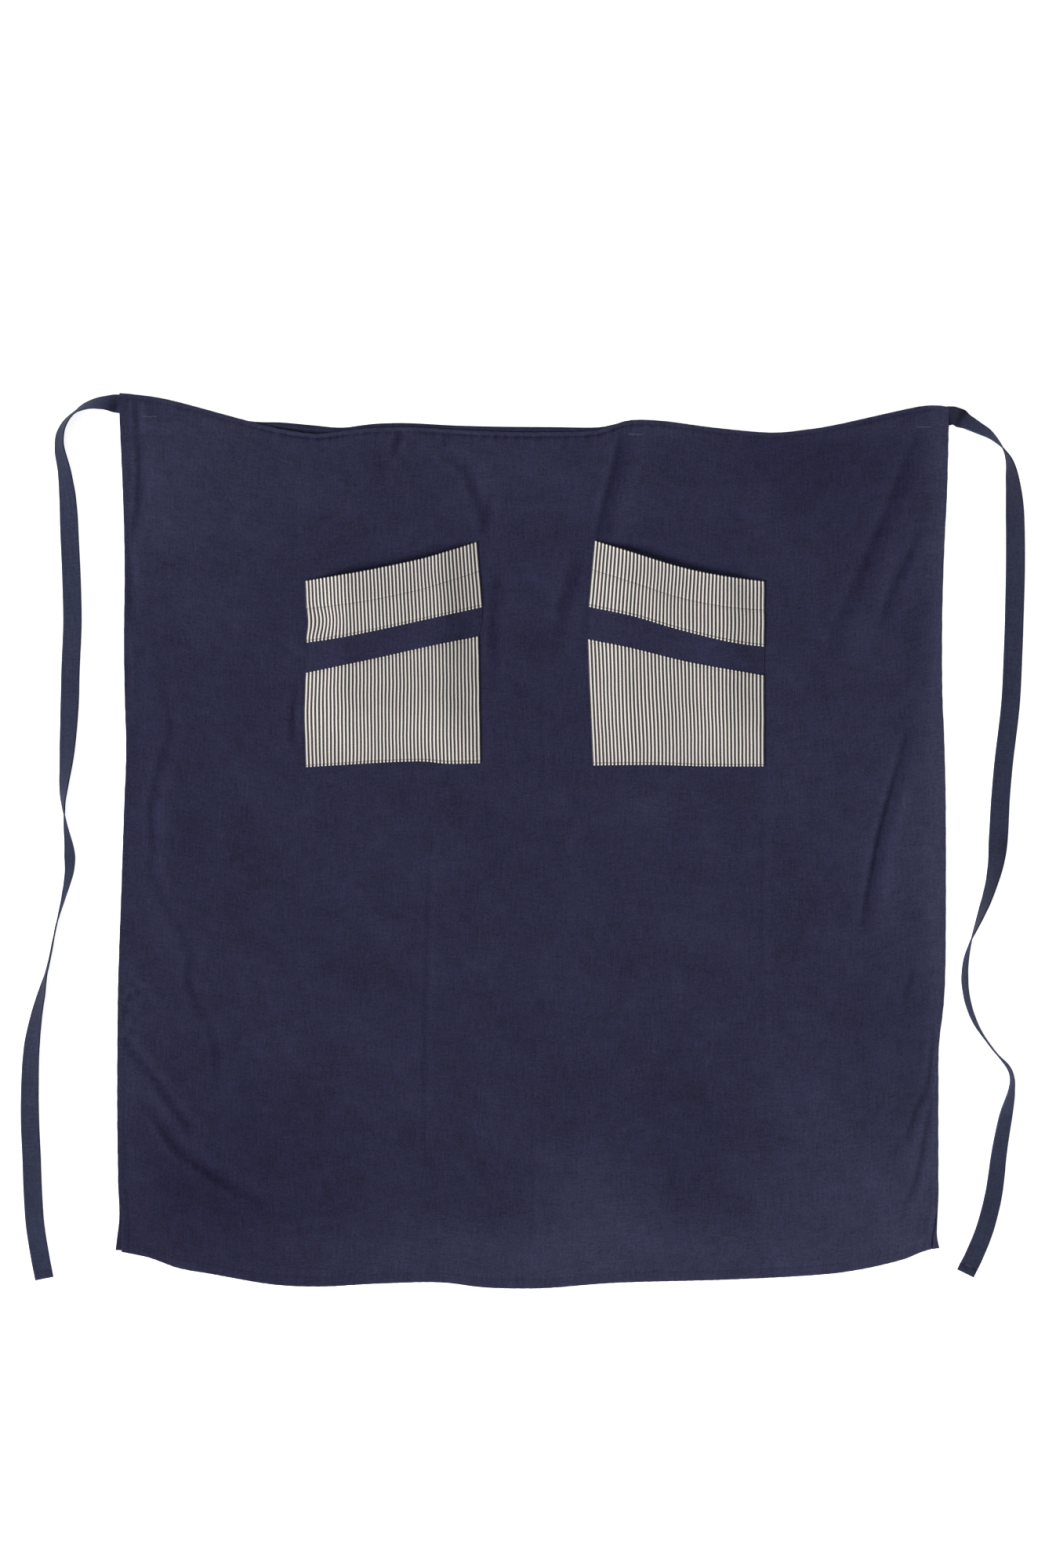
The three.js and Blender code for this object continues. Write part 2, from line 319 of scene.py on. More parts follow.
def linen(name, warp, weft, faded_and_lit, slub, cloud, weave, crumple_depth):
    return cloth_material(name, LINEN, {
        "Warp": warp, "Weft": weft, "Faded And Lit": faded_and_lit, "Pitch": 0.00056, "Slub": slub, "Cloud": cloud,
        "Weave": weave}, 0.00006, crumple_depth)


NAVY = linen("navy_linen", (0.0095, 0.0130, 0.0385, 1), (0.0138, 0.0072, 0.0205, 1), NAVY_FADED_AND_LIT,
             0.72, 0.42, 0.5, 0.0005)
# A second navy for the back layer and its hems: with the back's lower lightening it is painted shade where
# the back shows beyond the front.
NAVY_SHADE = linen("navy_linen_inside_painted_shade", (0.0115, 0.014, 0.034, 1), (0.013, 0.009, 0.023, 1), NAVY_FADED_AND_LIT,
                   0.7, 0.25, 0.55, 0.0003)
# The ties' paler colour is what is painted where a tie leans away from the sun.
TIE_CLOTH = linen("tie_linen", (0.0102, 0.0130, 0.0252, 1), (0.0108, 0.0100, 0.0190, 1),
                  (0.056, 0.065, 0.122, 1), 0.6, 0.3, 0.5, 0.0002)
STRIPE = 0.00402  # from one stripe of the ticking to the next
STRIPED = cloth_material("ticking_stripe", TICKING, {
    "Cream": (0.715, 0.680, 0.620, 1), "Dark": (0.023, 0.025, 0.029, 1),
    "Dark Other": (0.042, 0.028, 0.033, 1), "Period": STRIPE, "Dark Share": 0.57, "Twill": 0.0011},
    0.00005, 0.0002)
THREAD_NAVY = thread_material("thread_navy", 0.019, 0.020, 0.041)
THREAD_DARK = thread_material("thread_dark", 0.011, 0.012, 0.024)
THREAD_PALE = thread_material("thread_pale", 0.052, 0.060, 0.094)
FLOOR = floor_material()


# ---------------------------------------------------------------- curves read from the frame

def unit(vectors):
    return vectors / np.maximum(np.linalg.norm(vectors, axis=-1, keepdims=True), 1e-12)


def run_along(points):
    """The distance of each point from the first, along the line."""
    return np.concatenate([[0], np.cumsum(np.linalg.norm(np.diff(points, axis=0), axis=1))])


def around(section):
    """The distance of each point of a closed section from its first, ending with the whole way round."""
    return run_along(np.vstack([section, section[:1]]))


def smoothed(points, parts=6):
    """A smooth curve through points (Catmull-Rom)."""
    points = np.asarray(points, float)
    before = np.vstack([2 * points[0] - points[1], points[:-2]])
    after = np.vstack([points[2:], 2 * points[-1] - points[-2]])
    a, b = points[:-1], points[1:]
    t = (np.arange(parts) / parts)[None, :, None]
    before, a, b, after = (row[:, None] for row in (before, a, b, after))
    curve = 0.5 * (2 * a + (b - before) * t + (2 * before - 5 * a + 4 * b - after) * t * t
                   + (3 * a - before - 3 * b + after) * t ** 3)
    return np.vstack([curve.reshape(-1, points.shape[1]), points[-1:]])


class Edge:
    """One side of a piece's outline, seen from above and measured along its length."""

    def __init__(self, points):
        self.points = smoothed(points)
        self.run = run_along(self.points)
        self.length = self.run[-1]

    def at(self, share):
        along = np.clip(share, 0, 1) * self.length
        return np.stack([np.interp(along, self.run, self.points[:, k]) for k in (0, 1)], -1)

    def left(self, share):
        """The direction to the left of the way the edge runs."""
        way = unit(self.at(np.minimum(share + 0.004, 1)) - self.at(np.maximum(share - 0.004, 0)))
        return np.stack([-way[..., 1], way[..., 0]], -1)


def outline(node):
    """The node's outline seen from above, anticlockwise: the edges that only one upward face has."""
    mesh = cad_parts[node].data
    points = [tuple(round(c, 6) for c in v.co) for v in mesh.vertices]
    mesh.calc_loop_triangles()
    ways = {}
    for triangle in mesh.loop_triangles:
        if triangle.normal.z > 0.5:
            a, b, c = (points[i] for i in triangle.vertices)
            for way in ((a, b), (b, c), (c, a)):
                ways[way] = True
    following = {a: b for a, b in ways if (b, a) not in ways}
    loop = [next(iter(following))]
    while following[loop[-1]] != loop[0]:
        loop.append(following[loop[-1]])
    return np.array(loop)[:, :2]


def sides(node):
    """The outline's four sides. bottom and top run left to right, left and right run bottom to top."""
    loop = outline(node)
    x, y = loop[:, 0], loop[:, 1]
    corners = [np.argmin(x + y), np.argmax(x - y), np.argmax(x + y), np.argmax(y - x)]
    bottom, right, top, left = (np.roll(loop, -start, axis=0)[:(end - start) % len(loop) + 1]
                                for start, end in zip(corners, corners[1:] + corners[:1]))
    return {"bottom": Edge(bottom), "right": Edge(right), "top": Edge(top[::-1]), "left": Edge(left[::-1])}


def patch(edges, u, v):
    """Points of the surface between four edges, at shares u across and v up."""
    bottom, top = edges["bottom"].at(u), edges["top"].at(u)
    left, right = edges["left"].at(v), edges["right"].at(v)
    u, v = u[..., None], v[..., None]
    start, end = (edges["bottom"].at(np.array(s)) for s in (0.0, 1.0))
    high_start, high_end = (edges["top"].at(np.array(s)) for s in (0.0, 1.0))
    corners = (1 - v) * ((1 - u) * start + u * end) + v * ((1 - u) * high_start + u * high_end)
    return (1 - v) * bottom + v * top + (1 - u) * left + u * right - corners


def smoothstep(value, low, high):
    t = np.clip((value - low) / (high - low), 0, 1)
    return t * t * (3 - 2 * t)


def hump(value, middle, width):
    """1 at the middle, fading to nothing on both sides."""
    return np.exp(-(((value - middle) / width) ** 2))


def patches(x, y, table):
    """The sum of soft round patches, each given as place and radii in millimetres and an amount."""
    total = np.zeros(np.shape(x))
    for centre_x, centre_y, wide, tall, amount in table:
        total = total + amount * hump(x / MM, centre_x, wide) * hump(y / MM, centre_y, tall)
    return total


def spaced(low, high, zones, fine=0.0003, growth=0.26):
    """Places from low to high, close together at both ends. zones lists (place, step)."""
    place = np.linspace(low, high, 20000)
    step = np.interp(place, *np.array(zones, float).T)
    step = np.minimum(step, fine + growth * np.minimum(place - low, high - place))
    count = np.concatenate([[0], np.cumsum((place[1:] - place[:-1]) * 2 / (step[1:] + step[:-1]))])
    return np.interp(np.linspace(0, count[-1], round(count[-1]) + 1), count, place)


# ---------------------------------------------------------------- mesh makers

def mesh_piece(name, points, faces, uv, material, fade_and_light=None):
    """uv has one row for each corner of each face."""
    mesh = bpy.data.meshes.new(name)
    mesh.from_pydata(points.tolist(), [], faces.tolist() if isinstance(faces, np.ndarray) else faces)
    layer = mesh.uv_layers.new(name="cloth")
    layer.data.foreach_set("uv", np.asarray(uv, np.float32).ravel())
    mesh.polygons.foreach_set("use_smooth", np.ones(len(mesh.polygons), bool))
    mesh.materials.append(material)
    if fade_and_light is not None:
        layer = mesh.attributes.new("fade_and_light", "FLOAT", "POINT")
        layer.data.foreach_set("value", np.asarray(fade_and_light, np.float32).ravel())
    mesh.update()
    return add_object(name, mesh)


def grid_normals(top):
    return unit(np.cross(np.gradient(top, axis=1), np.gradient(top, axis=0)))


def row_at(grid, shares, share, lift=0.00008):
    """The line across a grid of points at a share of its height, raised a little."""
    share = np.broadcast_to(share, grid.shape[1])
    k = np.clip(np.searchsorted(shares, share) - 1, 0, len(shares) - 2)
    t = ((share - shares[k]) / (shares[k + 1] - shares[k]))[:, None]
    column = np.arange(grid.shape[1])
    return grid[k, column] * (1 - t) + grid[k + 1, column] * t + (0, 0, lift)


def column_at(grid, shares, share, lift=0.00008):
    return row_at(grid.transpose(1, 0, 2), shares, share, lift)


def sheet_shell(name, top, uv, thickness, material, fade_and_light=None):
    """A closed piece of cloth. top is a grid of points whose rows run up and whose columns run right."""
    rows, cols = top.shape[:2]
    normal = grid_normals(top)
    under = top - normal * thickness
    index = np.arange(rows * cols).reshape(rows, cols)
    ring = np.concatenate([index[0, :-1], index[:-1, -1], index[-1, :0:-1], index[:0:-1, 0]])
    flat_top, flat_normal = top.reshape(-1, 3), normal.reshape(-1, 3)
    way = unit(np.roll(flat_top[ring], -1, 0) - np.roll(flat_top[ring], 1, 0))
    middle = flat_top[ring] - flat_normal[ring] * thickness / 2
    rim = middle + unit(np.cross(way, flat_normal[ring])) * thickness / 2
    count = rows * cols
    a, b = index[:-1, :-1].ravel(), index[:-1, 1:].ravel()
    c, d = index[1:, 1:].ravel(), index[1:, :-1].ravel()
    around = np.arange(len(ring))
    after = np.roll(around, -1)
    middle_a, middle_b = 2 * count + around, 2 * count + after
    faces = np.concatenate([
        np.stack([a, b, c, d], 1),
        np.stack([d, c, b, a], 1) + count,
        np.stack([middle_a, middle_b, ring[after], ring], 1),
        np.stack([count + ring, count + ring[after], middle_b, middle_a], 1),
    ])
    points = np.concatenate([flat_top, under.reshape(-1, 3), rim])
    flat_uv = uv.reshape(-1, 2)
    point_uv = np.concatenate([flat_uv, flat_uv, flat_uv[ring]])
    if fade_and_light is not None:
        fade_and_light = np.concatenate([fade_and_light.ravel(), fade_and_light.ravel(), fade_and_light.ravel()[ring]])
    return mesh_piece(name, points, faces, point_uv[faces.ravel()], material, fade_and_light)


def loft_parts(rings, uv):
    """Points, faces and uv of a closed body through rings of points (n, m, 3). uv is (n, m + 1, 2)."""
    n, m = rings.shape[:2]
    index = np.arange(n * m).reshape(n, m)
    beside = np.roll(index, -1, 1)
    faces = np.stack([index[:-1], index[1:], beside[1:], beside[:-1]], -1).reshape(-1, 4).tolist()
    corner_uv = np.stack([uv[:-1, :-1], uv[1:, :-1], uv[1:, 1:], uv[:-1, 1:]], 2).reshape(-1, 4, 2).tolist()
    points = np.concatenate([rings.reshape(-1, 3), rings[0].mean(0)[None], rings[-1].mean(0)[None]])
    for row, step in ((0, 1), (-1, -1)):
        tip, centre = n * m - row, uv[row, :-1].mean(0).tolist()
        for k in range(m):
            faces.append([tip] + [int(i) for i in (index[row, k], beside[row, k])][::step])
            corner_uv.append([centre] + uv[row, k:k + 2].tolist()[::step])
    triangles = np.array([(f[0], f[k], f[k + 1]) for f in faces for k in range(1, len(f) - 1)])
    a, b, c = points[triangles].transpose(1, 0, 2)
    way = 1 if (a * np.cross(b, c)).sum() > 0 else -1
    faces = [f[::way] for f in faces]
    return points, faces, np.concatenate([corners[::way] for corners in corner_uv])


def loft(name, rings, uv, material, lightening):
    """One closed piece through rings of points. The last argument gives how much lighter it is at places (x,
    y): faded cloth and painted light.
    """
    points, faces, corner_uv = loft_parts(rings, uv)
    return mesh_piece(name, points, faces, corner_uv, material, lightening(points[:, 0], points[:, 1]))


# ---------------------------------------------------------------- how the cloth lies

def scallops(along, seed, short=0.0065, long=0.0125):
    """Puckers between the stitches of a tight row: 0 where a stitch pulls down, up to 1 between."""
    random = np.random.default_rng(seed)
    knots = np.concatenate([[0], np.cumsum(random.uniform(short, long, int(1.3 / short)))])
    heights = random.uniform(0.35, 1.0, len(knots))
    place = np.searchsorted(knots, along, side="right") - 1
    phase = (along - knots[place]) / (knots[place + 1] - knots[place])
    return heights[place] * np.sin(math.pi * phase) ** 2


def perlin(x, y, size, seed):
    """Smooth noise about 0 whose lumps are size metres across."""
    flat = np.array([noise.noise(Vector((a / size, b / size, seed * 7.31)))
                     for a, b in zip(x.ravel(), y.ravel())])
    return flat.reshape(x.shape)


# Creases in the front: the line each follows in millimetres, its depth or rise, and how far it reaches to
# the left and to the right of the way the line runs
CREASES = [
    ([(102, 457), (94, 415), (84, 378), (72, 328)], -1.5, 16, 4.5),
    ([(-95, 424), (-74, 411), (-66, 392), (-56, 368), (-51, 338)], -0.9, 10, 5),
    ([(-41, 388), (-47, 368), (-52, 345)], -0.6, 6, 5),
    ([(-144, 452), (-148, 442), (-152, 430)], -1.9, 6, 3.6),
    ([(-88, 452), (-94, 442), (-98, 434)], -0.8, 5, 3.6),
    ([(53, 314), (38, 262), (27, 218)], -0.9, 12, 6),
    ([(11, 195), (11, 120), (12, 43)], -0.35, 4, 2.5),
    ([(-36, 308), (-42, 240), (-41, 174)], -0.7, 10, 5),
    ([(430, 452), (404, 390), (380, 332), (351, 265), (330, 222)], -1.1, 16, 5.5),
    ([(430, 340), (404, 289), (389, 248)], -1.1, 10, 4),
    ([(428, 192), (400, 165), (380, 155)], -0.4, 6, 4),
    ([(414, 115), (396, 53), (381, -5), (366, -88)], -2.2, 14, 3.4),
    ([(425, -136), (410, -171)], -0.8, 8, 3),
    ([(444, -285), (438.5, -306), (431, -347), (424, -376), (414, -398), (406, -420)], -1.1, 8, 3),
    ([(428, -300), (421, -313), (402, -337), (389, -355)], -0.8, 8, 3.5),
    ([(446, -216), (441.5, -241), (440, -262), (431, -283), (421, -305), (416, -326)], -1.1, 8, 3),
    ([(428, -221), (437, -224), (447, -222)], -1.0, 3, 2.2),
    ([(-409, 172), (-397, 130), (-404, 101), (-419, 43), (-417, -5), (-419, -34), (-399, -82)], -0.7, 8, 4),
    ([(-399, -80), (-376, -120), (-378, -158), (-351, -216), (-346, -268)], -0.6, 8, 4),
    ([(-432, -288), (-416, -306), (-397, -335), (-377, -352), (-357, -367), (-327, -386),
      (-296, -402)], -1.1, 10, 3.4),
    ([(-449, -221), (-435, -240), (-422, -257), (-408, -276), (-393, -297), (-378, -317)], -1.2, 7, 2.8),
    ([(-446, -157), (-434, -167), (-423, -178)], -0.9, 5, 2.5),
    ([(-290, -430), (-250, -430), (-215, -426)], -0.4, 5, 3),
    ([(-455, -213), (-440, -238), (-424, -252)], -0.6, 6, 3),
    ([(-110, 5), (-115, -82), (-118, -220), (-119, -360)], -0.38, 5, 2.4),
    ([(255, 82), (253, -100), (255, -245)], -0.3, 5, 2.2),
    ([(2, -190), (1, -320), (0, -460)], -0.25, 4, 2.2),
    ([(-437, 482), (-435, 457)], -1.2, 5, 3),
    ([(-436, 453), (-433, 420), (-434, 374), (-440, 338)], -1.1, 9, 3),
    ([(-446, 347), (-447, 300), (-443, 256)], -1.1, 8, 3),
    ([(-450, 230), (-447, 180), (-450, 130)], -0.6, 4, 3),
    ([(-260, 168), (-264, 135), (-262, 105)], -1.0, 5, 3),
    ([(-283, 220), (-264, 204), (-248, 190)], -0.9, 5, 3),
    ([(-255, 338), (-268, 330)], -0.7, 3, 3),
    ([(-452, -165), (-438, -178)], -1.3, 3, 2.4),
    ([(-452, -184), (-436, -196)], -1.3, 3, 2.4),
    ([(-452, -203), (-435, -216)], -1.3, 3, 2.4),
    ([(232, 186), (246, 166), (250, 140)], -0.6, 4, 3),
    ([(-160, 408), (-153, 392), (-166, 372)], 0.5, 3, 3),
]


def crease(x, y, points, height, left, right):
    """The height that one crease adds. It fades out towards its two ends."""
    line = smoothed(np.array(points, float) * MM, 4)
    run = run_along(line)
    closest = np.full(x.shape, np.inf)
    value = np.zeros(x.shape)
    for k, (a, b) in enumerate(zip(line[:-1], line[1:])):
        way = b - a
        t = np.clip(((x - a[0]) * way[0] + (y - a[1]) * way[1]) / (way @ way), 0, 1)
        off_x, off_y = x - a[0] - t * way[0], y - a[1] - t * way[1]
        distance = np.hypot(off_x, off_y)
        share = (run[k] + t * (run[k + 1] - run[k])) / run[-1]
        flank = np.where(way[0] * off_y - way[1] * off_x > 0, left, right) * MM
        out = (distance / flank) ** 2
        here = (1 - out) * np.exp(-out / 2) * np.sin(math.pi * (0.06 + 0.88 * share)) ** 0.7
        value = np.where(distance < closest, here, value)
        closest = np.minimum(closest, distance)
    return value * height * MM


def swell(x, y):
    """The broad rise and fall of the body on the table. The pockets ride on it."""
    room = np.minimum(0.45 - np.abs(x), np.minimum(y + 0.455, 0.445 - y))
    lumps = 0.0030 * perlin(x, y, 0.17, 1) + 0.0015 * perlin(x, y, 0.065, 2)
    return np.maximum(0.0022 + lumps, 0) * smoothstep(room, -0.005, 0.055)


def outside(x, y, low, high):
    """How far places are outside a rectangle, less than 0 inside it."""
    return np.maximum(np.maximum(low[0] - x, x - high[0]), np.maximum(low[1] - y, y - high[1]))


def clear_of_pockets(x, y):
    """1 out on the open cloth, 0 under the pockets."""
    clear = np.ones(np.shape(x))
    for side in ("left", "right"):
        lower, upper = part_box(f"{side}_pocket_lower"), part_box(f"{side}_pocket_upper")
        reach = outside(x, y, lower[0], (max(lower[1].x, upper[1].x), upper[1].y))
        clear = clear * smoothstep(reach, -0.004, 0.006)
    return clear


def front_relief(x, y):
    """Creases and small unevenness of the front, which the pockets don't share."""
    height = 0.0005 * perlin(x, y, 0.03, 3) + 0.0002 * perlin(x, y, 0.012, 4)
    for points, rise, left, right in CREASES:
        height = height + 1.35 * crease(x, y, points, rise, left, right)
    return height * clear_of_pockets(x, y)


# Where the front is lighter or darker, partly faded cloth and partly painted light such as the bright band
# down the right edge: place and radii in millimetres, and how much
FADE_AND_LIGHT_PATCHES = [
    (-390, 410, 110, 130, 0.28), (-455, 100, 18, 420, 0.02), (462, 60, 24, 480, 1.0), (72, -402, 62, 52, 0.3),
    (60, -470, 330, 42, 0.38), (187, -332, 88, 84, -0.12), (440, -430, 70, 120, 0.35),
    (350, -380, 170, 130, 0.25), (-350, -400, 160, 120, -0.2), (425, -20, 42, 120, 0.3),
    (320, 40, 150, 200, 0.08), (-60, 420, 200, 60, 0.12), (-455, -260, 28, 160, 0.15),
    (130, 39, 26, 20, 0.22), (337, -103, 30, 10, 0.22), (0, 455, 460, 9, 0.2), (330, 400, 110, 70, -0.1),
    (-429, -480, 60, 24, 0.3),
]


def fade_and_light_at(x, y):
    return np.clip(0.325 + patches(x, y, FADE_AND_LIGHT_PATCHES), 0, 0.95)


# ---------------------------------------------------------------- body

front = sides("front_panel")
back = sides("back_panel")


def panel_grid(edges, zones_across, zones_up):
    """Shares, distances from the four sides (left, right, bottom, top) and points of a panel's cloth."""
    width, height = edges["bottom"].length, edges["left"].length
    u = spaced(0, width, zones_across) / width
    v = spaced(0, height, zones_up) / height
    u, v = np.meshgrid(u, v)
    distances = (u * width, (1 - u) * width, v * height, (1 - v) * height)
    return u, v, distances, patch(edges, u, v)


def fold_drop(distance):
    """How far the cloth has turned down near its fold."""
    return FOLD * (1 - np.sqrt(1 - np.clip(1 - distance / FOLD, 0, 1) ** 2))


def waist_force(x):
    """The waist's hem puckers most left of the middle and in the middle."""
    middle = smoothstep(x, -0.14, -0.08) * (1 - smoothstep(x, 0.08, 0.14))
    return 0.3 + 0.75 * hump(x, -0.245, 0.06) + 0.65 * middle


def over_tie_roots(x, y):
    """1 where a tie comes out between the layers, so that the fold stays flat over it."""
    near = np.zeros(np.shape(x))
    for side in ("left", "right"):
        low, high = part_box(f"{side}_tie_anchor")
        off = outside(x, y, (low.x - 0.004, low.y), (high.x + 0.004, high.y))
        near = near + 1 - smoothstep(off, 0, 0.006)
    return near


def make_front():
    across_zones = [(0.085, 0.0027), (0.10, 0.0036), (0.325, 0.0036), (0.333, 0.0026), (0.350, 0.0026),
                    (0.36, 0.0036), (0.50, 0.0036), (0.53, 0.0033), (0.60, 0.0033), (0.63, 0.0036),
                    (0.74, 0.0036), (0.77, 0.0030)]
    up_zones = [(0.16, 0.0054), (0.19, 0.0076), (0.86, 0.0076), (0.90, 0.0038)]
    u, v, (left, right, low, high), place = panel_grid(front, across_zones, up_zones)
    x, y = place[..., 0], place[..., 1]
    across, up = u * front["top"].length, v * front["left"].length
    force = waist_force(x)
    waist, bottom = scallops(across, 11, 0.0085, 0.016), scallops(across, 12)
    sides_pucker = np.where(left < right, scallops(up, 13, 0.012, 0.03), scallops(up, 14, 0.012, 0.03))
    inside = np.minimum(np.minimum(left, right), np.minimum(low, high))
    creases = front_relief(x, y) * smoothstep(inside, 0.0, 0.010)
    relief = swell(x, y) + creases
    height = FRONT_TOP + np.maximum(relief, -0.0011 - 0.2 * np.maximum(relief, 0))
    # waist: a puffed fold, a furrow at the stitches and puckers below it
    height = height + 0.0004 * (0.4 + waist) * force * hump(high, 0.0028, 0.0016)
    height = height - 0.0014 * force * (1 - 0.7 * waist) * hump(high, WAIST_HEM, 0.0013)
    height = height + 0.0018 * force * (waist - 0.3) * hump(high, 0.0095, 0.0035)
    # bottom and sides: the same, fainter
    height = height + 0.0002 * bottom * hump(low, 0.006, 0.003)
    height = height - 0.00028 * (1 - 0.6 * bottom) * hump(low, BOTTOM_HEM, FURROW)
    hem_part = 1 - smoothstep(up, 0.2, 0.3)
    for distance in (left, right):
        height = height - 0.0003 * hem_part * hump(distance, SIDE_SEAM, FURROW)
        height = height + 0.0004 * (sides_pucker - 0.3) * hump(distance, 0.005, 0.004)
    height = height - fold_drop(inside) * (1 - 0.9 * over_tie_roots(x, y))
    # the folds are not quite straight
    jut = 0.00055 * np.exp(-inside / 0.003)
    x = x + jut * (np.where(left < right, 1, -1) * (sides_pucker - 0.4)) * (np.minimum(left, right) < 0.01)
    y = y - jut * (waist - 0.4) * force * (high < 0.01) + 0.5 * jut * (bottom - 0.4) * (low < 0.01)
    top = np.stack([x, y, height], -1)
    uv = np.stack([across, up], -1)
    # Lighter at the folds of the waist and bottom: partly worn edges, partly a painted highlight on the fold.
    wear_and_painted_light = np.maximum(0.5 * np.exp(-high / 0.0011), 0.25 * np.exp(-low / 0.0011))
    # Painted shade in the creases' grooves, and a little painted light beside them.
    wear_and_painted_light = wear_and_painted_light + np.clip(creases / 0.007, -0.25, 0.1)
    # Painted shade in the furrow of the waist's stitching, darkest where the stitches pull down.
    wear_and_painted_light = wear_and_painted_light - 0.9 * force * hump(high, WAIST_HEM + 0.0004, 0.0014) * (1 - waist)
    # Painted shade along the furrow of the side seams' stitching, on the lower part of each side.
    wear_and_painted_light = wear_and_painted_light - 0.2 * hump(np.minimum(left, right), 0.009, 0.0012) * hem_part
    fade_and_light = np.clip(fade_and_light_at(x, y) + wear_and_painted_light, 0, 0.95)
    piece = sheet_shell("front_cloth", top, uv, CLOTH, NAVY, fade_and_light)
    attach(piece, BODY)
    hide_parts("front_panel")
    make_front_threads(top, u[0], v[:, 0])
    return top


def make_front_threads(top, u, v):
    width, tall = front["bottom"].length, front["left"].length
    in_row = (u * width > SIDE_SEAM + 0.001) & ((1 - u) * width > SIDE_SEAM + 0.001)
    rows = [row_at(top, v, 1 - WAIST_HEM / tall)[in_row], row_at(top, v, BOTTOM_HEM / tall)[in_row]]
    for share in (SIDE_SEAM / width, 1 - SIDE_SEAM / width):
        column = column_at(top, u, share)
        rows += [column[(v * tall > 0.003) & (v * tall < 0.066)],
                 column[((1 - v) * tall > 0.003) & ((1 - v) * tall < 0.022)]]
    stitch_rows("body_stitches", [smoothed(row, 3) for row in rows], THREAD_NAVY, BODY, thread=0.00028)


def make_back():
    u, v, distances, place = panel_grid(back, [(0, 0.007)], [(0, 0.008)])
    x, y = place[..., 0], place[..., 1]
    inside = np.min(distances, axis=0)
    ripple = 0.0005 * (perlin(x, y, 0.07, 5) + 0.5) + 0.0002 * perlin(x, y, 0.025, 6)
    height = BACK_TOP + 0.0001 + np.maximum(ripple, 0) * smoothstep(inside, 0.008, 0.02)
    top = np.stack([x, y, height], -1)
    uv = np.stack([u * back["top"].length + 0.31, v * back["left"].length], -1)
    # Painted shade: the back is lightened much less than the front.
    piece = sheet_shell("back_cloth", top, uv, CLOTH, NAVY_SHADE, fade_and_light_at(x, y) * 0.4)
    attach(piece, BODY)
    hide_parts("back_panel")


def section_points(width, low, high, bulge):
    """A folded edge in section, from its stitching over and back under: (distance from the fold, height)."""
    thick = high - low
    turn = [(0.62, 0.04), (0.25, 0.16), (0.05, 0.34)]  # the fold's round, as shares of its thickness
    over = [(width, high - 0.0006), (width * 0.86, high - 0.00012), (width * 0.62, high + bulge),
            (width * 0.36, high + bulge)] + [(thick * into, high - thick * drop) for into, drop in turn]
    under = [(thick * into, low + thick * drop) for into, drop in turn[::-1]]
    flat = [(width * 0.36, low), (width * 0.7, low), (width, low + 0.0002)]
    return np.array(over + [(0, high - 0.5 * thick)] + under + flat)


def edge_roll(edge, inward, section, start, end, seed, puff):
    """Rings of a folded edge and their uv. inward is +1 where the cloth lies to the left of the way the edge
    runs. puff is how strongly it puckers."""
    along = np.linspace(start, end, max(4, round((end - start) / 0.0014)) + 1)
    share = along / edge.length
    on_edge, into = edge.at(share), edge.left(share) * inward
    pucker = (scallops(along, seed) * puff)[:, None]
    slow = perlin(along[None], np.zeros((1, len(along))), 0.03, seed).T
    distance, height = section[None, :, 0], section[None, :, 1]
    middle = (height.max() + height.min()) / 2
    outer = 1 - distance / distance.max()
    near = distance * (1 + 0.05 * slow) - 0.0004 * pucker * outer
    upper = height > middle
    rise = np.where(upper, pucker * 0.00042 * np.sin(math.pi * np.clip(0.15 + 0.85 * outer, 0, 1)), 0)
    dip = np.where(upper & (outer < 0.1), -0.0003 * (puff - pucker), 0)
    rounding = np.clip(np.minimum(along - start, end - along) / 0.0008, 0, 1)[:, None] ** 0.5
    tall = middle + (height + rise + dip - middle) * (0.35 + 0.65 * rounding)
    points = on_edge[:, None] + into[:, None] * near[..., None]
    rings = np.concatenate([points, np.maximum(tall, 0)[..., None]], -1)
    return rings, np.stack(np.broadcast_arrays(along[:, None], around(section)[None]), -1)


